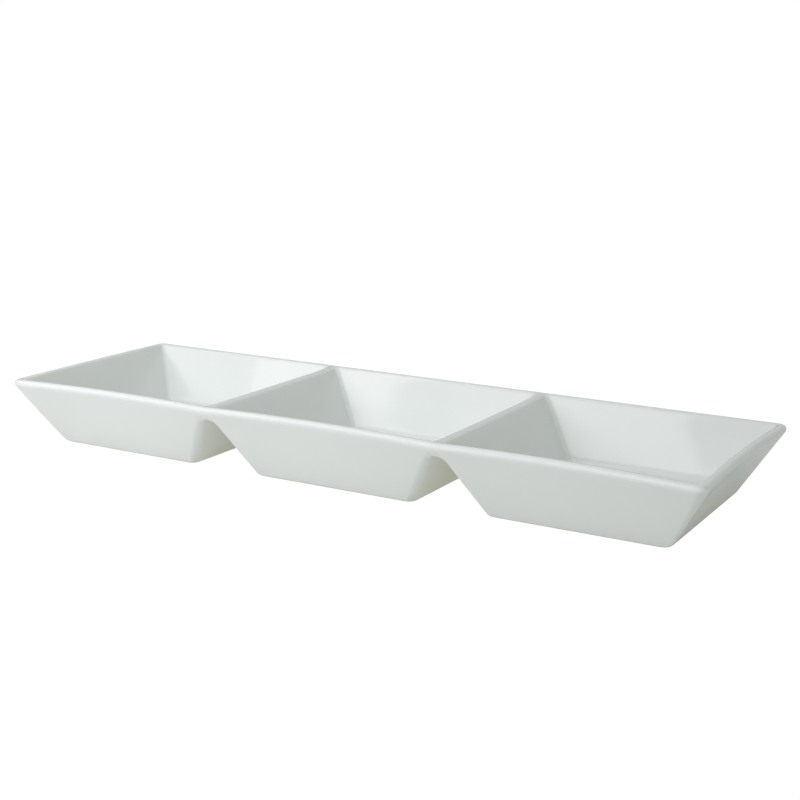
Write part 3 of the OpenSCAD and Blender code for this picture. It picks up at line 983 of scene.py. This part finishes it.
def see_through_from_below(tree, output):
    top = output.links[0].from_socket
    below = add_node(tree, "ShaderNodeNewGeometry").outputs["Backfacing"]
    clear = add_node(tree, "ShaderNodeBsdfTransparent")
    mix = add_node(tree, "ShaderNodeMixShader", [(0, below), (1, top), (2, clear.outputs[0])])
    tree.links.new(mix.outputs[0], output)


def glow_masks(tree):
    """Where the table's painted glow falls: 1 near the dish, 1 under it, and 1 under its feet only; 0
    elsewhere.
    """
    place = add_node(tree, "ShaderNodeTexCoord").outputs["Object"]
    distance = add_node(tree, "ShaderNodeVectorMath", [(0, place)], operation="LENGTH").outputs["Value"]
    aside = add_node(tree, "ShaderNodeVectorMath", [(0, place)], operation="ABSOLUTE").outputs["Vector"]
    x, y, _ = add_node(tree, "ShaderNodeSeparateXYZ", [(0, aside)]).outputs
    near = calculate(tree, "LESS_THAN", distance, TABLE_GLOW_REACH)
    under = calculate(tree, "MULTIPLY", calculate(tree, "LESS_THAN", x, UNDER_HALF_LENGTH),
                      calculate(tree, "LESS_THAN", y, UNDER_HALF_WIDTH))
    from_notch = calculate(tree, "ABSOLUTE", calculate(tree, "SUBTRACT", x, HALF_BAY * MM))
    feet = calculate(tree, "MULTIPLY", under, calculate(tree, "GREATER_THAN", from_notch, NOTCH_GLOW_REACH))
    return near, under, feet


def table_material():
    material, tree, shader = plain_material("white_table", TABLE_COLOUR, TABLE_ROUGHNESS)
    shader.inputs["Specular IOR Level"].default_value = 0
    near, under, feet = glow_masks(tree)
    # painted light: the table's emission, a hidden glow that lights the dish from around and below
    tree.links.new(mix_colours(tree, feet, WARM_GLOW, WHITE_GLOW), shader.inputs["Emission Color"])
    glow = calculate(tree, "MULTIPLY", near, TABLE_GLOW)
    glow = calculate(tree, "MULTIPLY_ADD", under, UNDER_GLOW, glow)
    glow = calculate(tree, "MULTIPLY_ADD", feet, FEET_GLOW, glow)
    tree.links.new(glow, shader.inputs["Emission Strength"])
    output = tree.nodes["Material Output"].inputs["Surface"]
    white_for_camera(tree, shader.outputs[0], output)
    see_through_from_below(tree, output)
    return material


table_surface = table_material()
print(table_surface.name, "has", len(table_surface.node_tree.nodes), "nodes")

# %% Lay the table
bpy.ops.mesh.primitive_plane_add(size=TABLE_SIZE, location=(0, 0, -TABLE_GAP))
table = bpy.context.object
table.name = "table"
table.data.materials.append(table_surface)
print("table", tuple(table.dimensions))

# %% [markdown]
# ## The panels
#
# White ware on a white table loses its form unless the light comes mostly from one
# side. Here five soft panels hang close on the left, in front and above, so the walls
# fall off gently from left to right. They are square area lights, as long as the dish
# or longer: smaller ones would leave hard streaks in the glaze, and one large one would
# light every wall alike.

# %% Panels
PANEL_COLOUR = (0.98, 0.995, 1.025)
PANELS = {
    # name: place and side in metres, power in watts
    "left_panel": ((-0.55, -0.35, 0.45), 0.45, 1.08),
    "front_left_panel": ((-0.35, -0.6, 0.4), 0.5, 1.6),
    "front_panel": ((0.0, -0.6, 0.4), 0.7, 0.8),
    "top_left_panel": ((-0.35, -0.1, 0.7), 0.4, 0.72),
    "top_panel": ((0.0, -0.1, 0.7), 0.4, 0.2),
}


def add_panel(name, place, side, watts):
    data = bpy.data.lights.new(name, "AREA")
    data.shape = "SQUARE"
    data.size = side
    data.energy = watts
    data.color = PANEL_COLOUR
    light = bpy.data.objects.new(name, data)
    light.location = place
    light.rotation_euler = (-Vector(place)).to_track_quat("-Z", "Y").to_euler()
    bpy.context.scene.collection.objects.link(light)
    return light


panels = [add_panel(name, *values) for name, values in PANELS.items()]
print(len(panels), "panels,", round(sum(p.data.energy for p in panels), 2), "W")

# %% [markdown]
# ## The room and its windows
#
# Further off are soft windows: a wide one on the right for the faces that look away
# from the panels, two low ones on the right for the end wall, and two behind that put a
# clean reflection on every rim. They could be panels too, but light that depends on
# direction alone is simpler, and it never leaves a streak. A window is brightest in its
# middle and fades evenly to its sides. A dim, even room fills the rest, and the camera
# sees all of it as white, like the table.

# %% Group: soft window
HALF_TURN = 180.0


def soft_window():
    """1 in the middle of a window, falling evenly to 0 at its sides, by direction in degrees."""
    group, given, result = new_group(
        "soft_window",
        [("Turn", "NodeSocketFloat", 0.0), ("Rise", "NodeSocketFloat", 0.0),
         ("Window Turn", "NodeSocketFloat", 0.0), ("Window Rise", "NodeSocketFloat", 0.0),
         ("Half Width", "NodeSocketFloat", 45.0), ("Half Height", "NodeSocketFloat", 20.0)],
        [("Light", "NodeSocketFloat")])

    def nearness(gap, half):
        share = calculate(group, "DIVIDE", calculate(group, "ABSOLUTE", gap), given.outputs[half])
        return calculate(group, "SUBTRACT", 1.0, share, use_clamp=True)

    aside = calculate(group, "SUBTRACT", given.outputs["Turn"], given.outputs["Window Turn"])
    aside = calculate(group, "WRAP", aside, HALF_TURN, -HALF_TURN)
    above = calculate(group, "SUBTRACT", given.outputs["Rise"], given.outputs["Window Rise"])
    light = calculate(group, "MULTIPLY", nearness(aside, "Half Width"), nearness(above, "Half Height"))
    group.links.new(light, result.inputs["Light"])
    return group


window_group = soft_window()
print(window_group.name, "has", len(window_group.nodes), "nodes")

# %% Room and windows
ROOM_LIGHT, ROOM_COLOUR = 0.217, (0.98, 1.02, 0.98)
WINDOWS = {
    # name: turn and rise of its middle, half width and half height, all in degrees; strength
    "right_window": (60, 45, 60, 25, 1.65),
    "low_right_front_window": (45, 0, 45, 20, 0.85),
    "low_right_back_window": (135, 0, 45, 20, 1.2),
    "back_window": (180, 20, 45, 20, 0.75),
    "high_back_window": (180, 45, 60, 25, 0.36),
}


def direction_in_degrees(tree):
    """Turn round the dish, 0 in front and 90 on the right, and rise above the table."""
    direction = add_node(tree, "ShaderNodeTexCoord").outputs["Generated"]
    x, y, z = add_node(tree, "ShaderNodeSeparateXYZ", [(0, direction)]).outputs
    front = calculate(tree, "MULTIPLY", y, -1.0)
    turn = calculate(tree, "ARCTAN2", x, front)
    rise = calculate(tree, "ARCSINE", z)
    return [calculate(tree, "DEGREES", angle) for angle in (turn, rise)]


def add_room():
    world = bpy.data.worlds.new("room")
    bpy.context.scene.world = world
    world.use_nodes = True
    tree = world.node_tree
    background = tree.nodes["Background"]
    background.inputs["Color"].default_value = (*ROOM_COLOUR, 1)
    turn, rise = direction_in_degrees(tree)
    total = ROOM_LIGHT
    for name, (*shape, strength) in WINDOWS.items():
        window = add_node(tree, "ShaderNodeGroup", enumerate((turn, rise, *shape)),
                          node_tree=window_group, name=name)
        total = calculate(tree, "MULTIPLY_ADD", window.outputs[0], strength, total)
    tree.links.new(total, background.inputs["Strength"])
    white_for_camera(tree, background.outputs[0], tree.nodes["World Output"].inputs["Surface"])
    return world


room = add_room()
bpy.context.scene.view_settings.view_transform = "Standard"
print(room.name, "with", len(WINDOWS), "windows")
